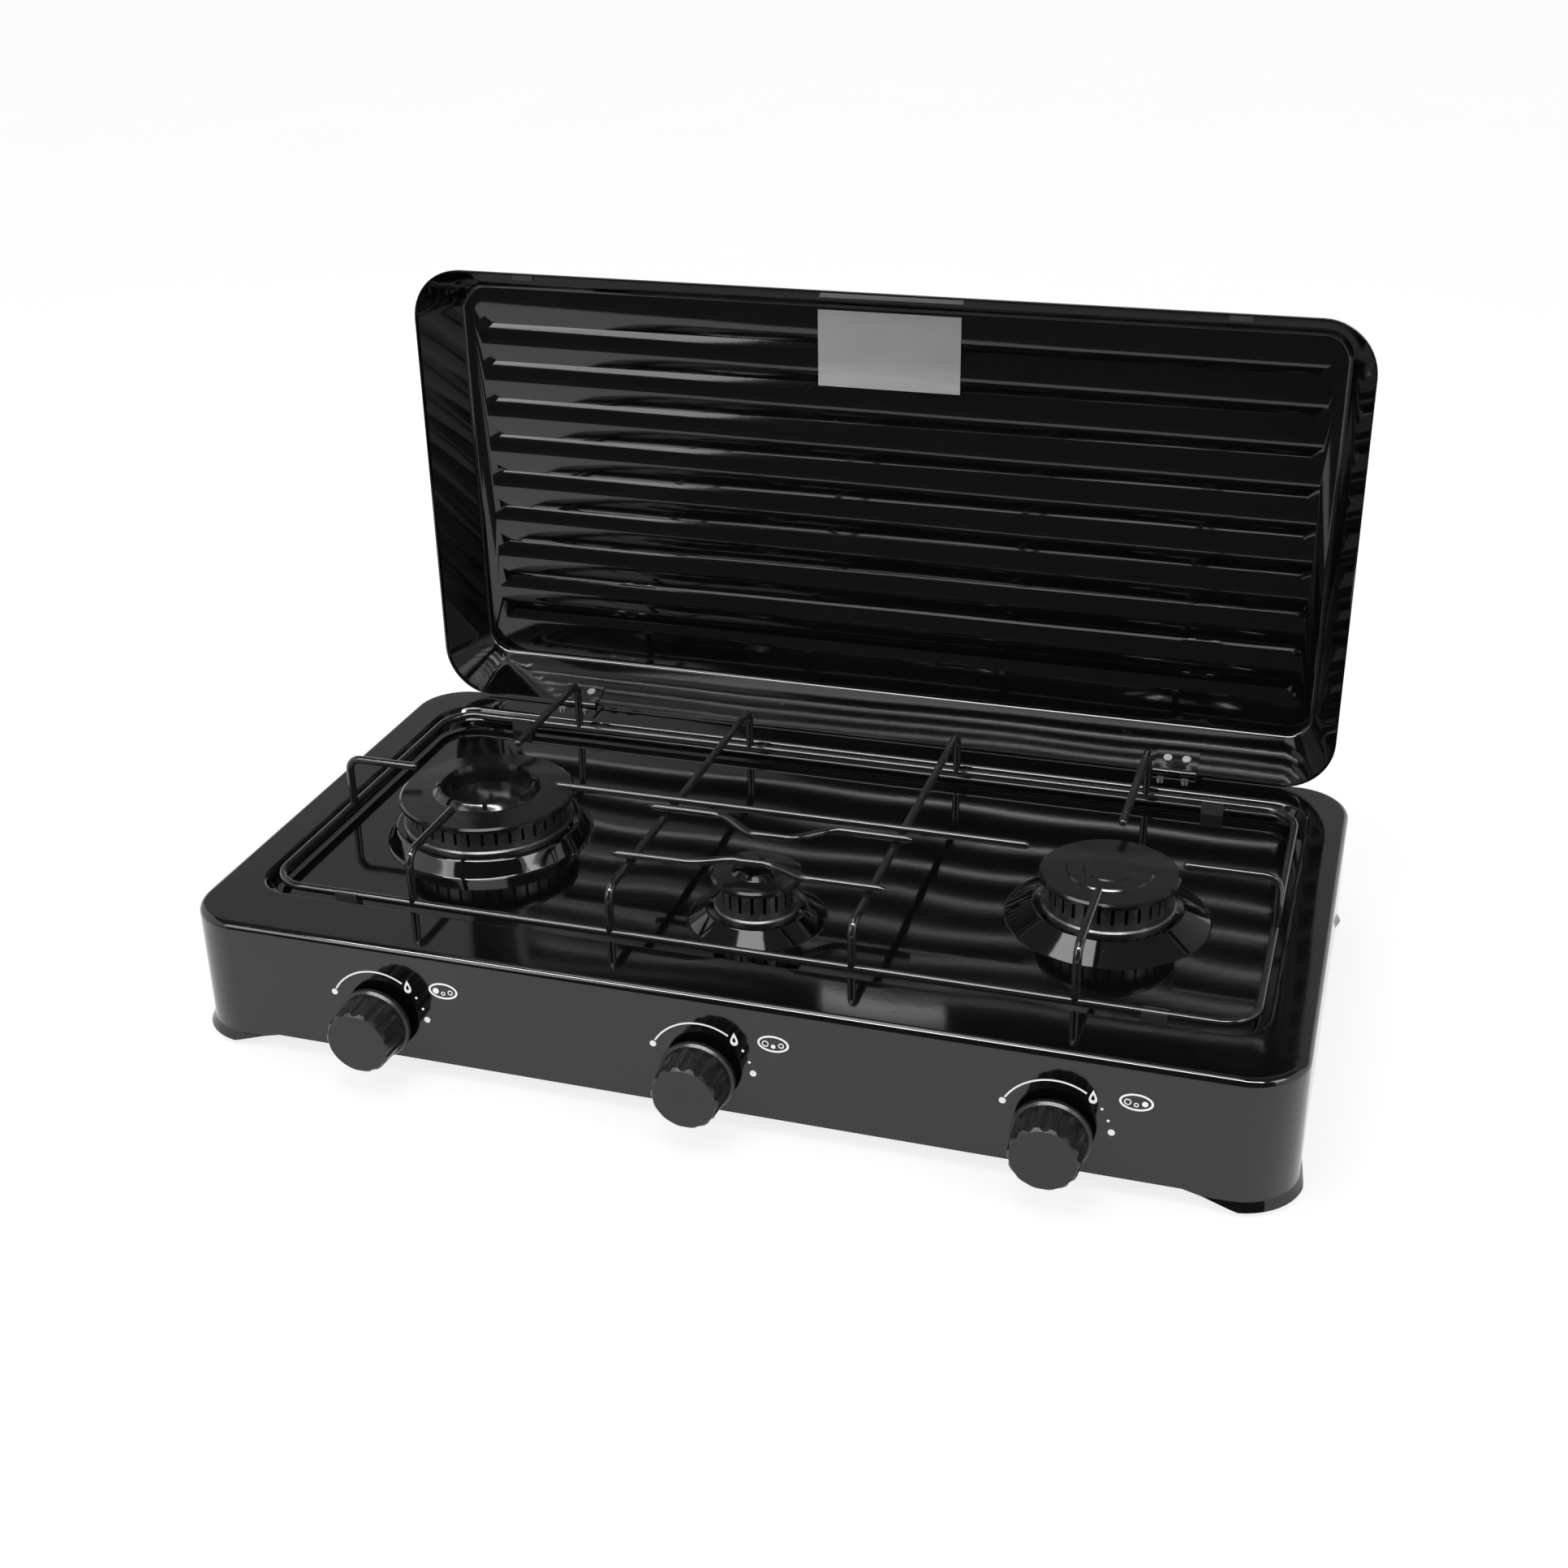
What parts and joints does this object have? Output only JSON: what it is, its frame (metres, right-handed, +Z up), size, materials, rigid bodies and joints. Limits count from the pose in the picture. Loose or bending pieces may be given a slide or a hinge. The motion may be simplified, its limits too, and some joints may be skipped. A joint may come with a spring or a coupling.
{
  "type": "gas hob",
  "caption": "Tabletop gas hob in black enamelled sheet with burners of several sizes, wire trivet, push-and-turn knobs and a hinged lid, shown open.",
  "frame": {"origin": "middle of the body's footprint on the table, within 4 mm of the middle of the overall box", "axes": "+X to the right seen from the knobs, +Y to the back where the lid is hinged, +Z up"},
  "size_m": [0.653, 0.4156, 0.3871],
  "materials": {
    "enamel": "gloss black enamel",
    "burner_enamel": "satin black enamel",
    "wire_enamel": "gloss black enamel on wire",
    "rubber": "matt",
    "alloy": "as cast",
    "brass": "turned",
    "steel": "zinc plated",
    "plate": "satin, bare",
    "knob_plastic": "moulded, half gloss"
  },
  "bodies": {
    "base": {"body_shell": "enamel", "foot_pads": "rubber", "burner_left_body": "alloy", "burner_left_crown": "burner_enamel", "burner_middle_body": "alloy", "burner_middle_crown": "burner_enamel", "burner_right_body": "alloy", "burner_right_crown": "burner_enamel", "burner_screws": "steel", "gas_rail": "steel", "inlet_nozzle": "brass", "tap_left": "brass", "tap_middle": "brass", "tap_right": "brass", "tap_covers": "steel", "tap_screws": "steel", "tap_jets": "brass", "hinge_leaves": "enamel", "hinge_pins": "steel", "hinge_screws": "steel"},
    "lid": {"lid_shell": "enamel", "lid_leaves": "enamel", "lid_rivets": "steel", "lid_plate": "plate", "lid_buffers": "rubber"},
    "trivet": {"trivet_ring": "wire_enamel", "trivet_rails": "wire_enamel", "trivet_bars": "wire_enamel", "trivet_fingers": "wire_enamel", "trivet_feet": "rubber"},
    "cap_left": {"burner_left_cap": "burner_enamel"},
    "cap_middle": {"burner_middle_cap": "burner_enamel"},
    "cap_right": {"burner_right_cap": "burner_enamel"},
    "tap_plug_left": {"plug_left": "brass"},
    "control_left": {"knob_left": "knob_plastic", "spindle_left": "steel"},
    "tap_plug_middle": {"plug_middle": "brass"},
    "control_middle": {"knob_middle": "knob_plastic", "spindle_middle": "steel"},
    "tap_plug_right": {"plug_right": "brass"},
    "control_right": {"knob_right": "knob_plastic", "spindle_right": "steel"}
  },
  "joints": [
    {"name": "lid_hinge", "type": "hinge", "parent": "base", "child": "lid", "pos_m": [0, 0.1665, 0.0845], "axis": [-1, 0, 0], "range_deg": [-90, 0]},
    {"name": "trivet_lift", "type": "slide", "parent": "base", "child": "trivet", "axis": [0, 0, 1], "range_m": [0, 0.06]},
    {"name": "cap_left_lift", "type": "slide", "parent": "base", "child": "cap_left", "axis": [0, 0, 1], "range_m": [0, 0.005]},
    {"name": "cap_middle_lift", "type": "slide", "parent": "base", "child": "cap_middle", "axis": [0, 0, 1], "range_m": [0, 0.004]},
    {"name": "cap_right_lift", "type": "slide", "parent": "base", "child": "cap_right", "axis": [0, 0, 1], "range_m": [0, 0.005]},
    {"name": "knob_left_turn", "type": "hinge", "parent": "base", "child": "tap_plug_left", "pos_m": [-0.197, -0.19, 0.034], "axis": [0, -1, 0], "range_deg": [0, 145]},
    {"name": "knob_left_push", "type": "slide", "parent": "tap_plug_left", "child": "control_left", "axis": [0, 1, 0], "range_m": [0, 0.0035], "stiffness_N_per_m": 900},
    {"name": "knob_middle_turn", "type": "hinge", "parent": "base", "child": "tap_plug_middle", "pos_m": [0, -0.19, 0.034], "axis": [0, -1, 0], "range_deg": [0, 145]},
    {"name": "knob_middle_push", "type": "slide", "parent": "tap_plug_middle", "child": "control_middle", "axis": [0, 1, 0], "range_m": [0, 0.0035], "stiffness_N_per_m": 900},
    {"name": "knob_right_turn", "type": "hinge", "parent": "base", "child": "tap_plug_right", "pos_m": [0.197, -0.19, 0.034], "axis": [0, -1, 0], "range_deg": [0, 145]},
    {"name": "knob_right_push", "type": "slide", "parent": "tap_plug_right", "child": "control_right", "axis": [0, 1, 0], "range_m": [0, 0.0035], "stiffness_N_per_m": 900}
  ]
}
